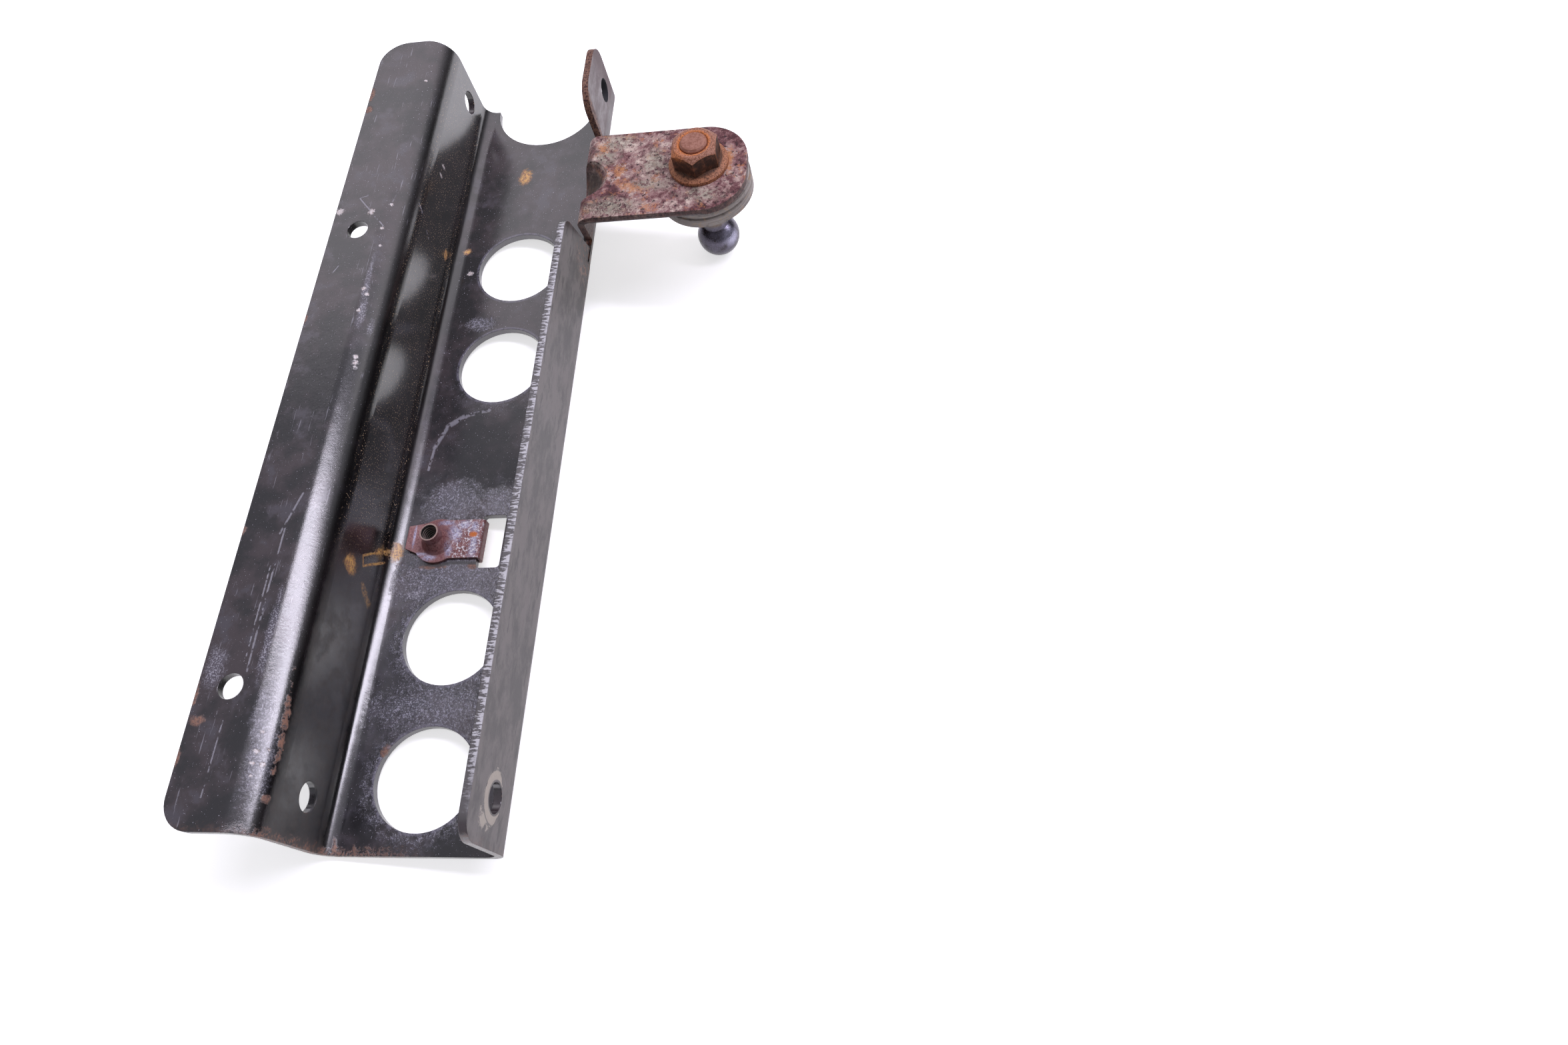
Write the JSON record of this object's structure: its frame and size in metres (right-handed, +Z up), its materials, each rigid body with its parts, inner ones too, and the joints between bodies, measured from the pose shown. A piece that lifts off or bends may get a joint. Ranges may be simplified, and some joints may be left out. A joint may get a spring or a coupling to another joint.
{
  "type": "seat bracket",
  "caption": "Folded sheet-metal channel with an outer flange, lightening holes, a clip nut and a side arm that carries a ball stud.",
  "frame": {"origin": "middle of the row of lightening holes, on the underside of the floor", "axes": "+X across the channel towards the side arm, +Y along the channel towards the ear, +Z up out of the channel"},
  "size_m": [0.1192, 0.2451, 0.0446],
  "materials": {
    "black_paint": "worn semi-gloss black paint",
    "stud_steel": "dull turned steel",
    "washer_steel": "dull grey steel",
    "nut_steel": "rusty steel",
    "clip_steel": "rusty spring steel"
  },
  "bodies": {
    "root": {"bracket": "black_paint", "ball_stud": "stud_steel", "stud_washer": "washer_steel", "flange_nut": "nut_steel", "clip_nut": "clip_steel"}
  },
  "joints": []
}
